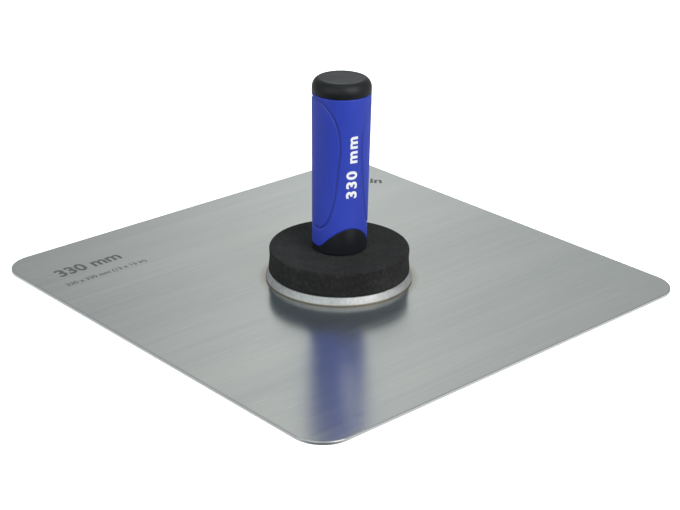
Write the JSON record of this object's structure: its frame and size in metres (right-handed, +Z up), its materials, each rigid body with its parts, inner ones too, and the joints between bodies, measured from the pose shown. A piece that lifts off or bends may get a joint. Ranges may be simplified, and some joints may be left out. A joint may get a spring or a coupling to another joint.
{
  "type": "mortar hawk",
  "caption": "Square plasterer's mortar hawk: brushed metal plate with rounded corners, round cast mount, foam hand pad and a soft-grip handle that unscrews.",
  "frame": {"origin": "centre of the mortar face, the flat underside of the plate as it lies at rest", "axes": "+Z up along the handle, away from the mortar face; X and Y along the plate's edges"},
  "size_m": [0.33, 0.33, 0.1426],
  "materials": {
    "plate_brushed_metal": "satin",
    "disc_cast_metal": "satin",
    "rivet_metal": "satin",
    "plated_steel": "satin",
    "pad_foam": "matte",
    "core_plastic": "satin",
    "insert_brass": "satin",
    "grip_rubber": "matte",
    "cap_rubber": "satin"
  },
  "bodies": {
    "plate": {"hawk_plate": "plate_brushed_metal", "mounting_disc": "disc_cast_metal", "disc_rivet_1": "rivet_metal", "disc_rivet_2": "rivet_metal", "disc_rivet_3": "rivet_metal", "disc_rivet_4": "rivet_metal", "disc_rivet_5": "rivet_metal", "disc_rivet_6": "rivet_metal", "stud_bolt": "plated_steel", "plain_washer": "plated_steel", "lock_washer": "plated_steel", "lock_nut": "plated_steel"},
    "pad": {"foam_pad": "pad_foam"},
    "handle": {"handle_core": "core_plastic", "thread_insert": "insert_brass", "grip_sleeve": "grip_rubber", "end_cap": "cap_rubber"}
  },
  "joints": [
    {"name": "handle_rise", "type": "slide", "parent": "plate", "child": "pad", "axis": [0, 0, 1], "range_m": [0, 0.01881]},
    {"name": "handle_unscrew", "type": "hinge", "parent": "pad", "child": "handle", "pos_m": [0, 0, 0.0246], "axis": [0, 0, 1], "range_deg": [0, 3870.1]}
  ],
  "couplings": [
    {"joint": "handle_unscrew", "follows": "handle_rise", "rad_per_m": 3590.4}
  ]
}
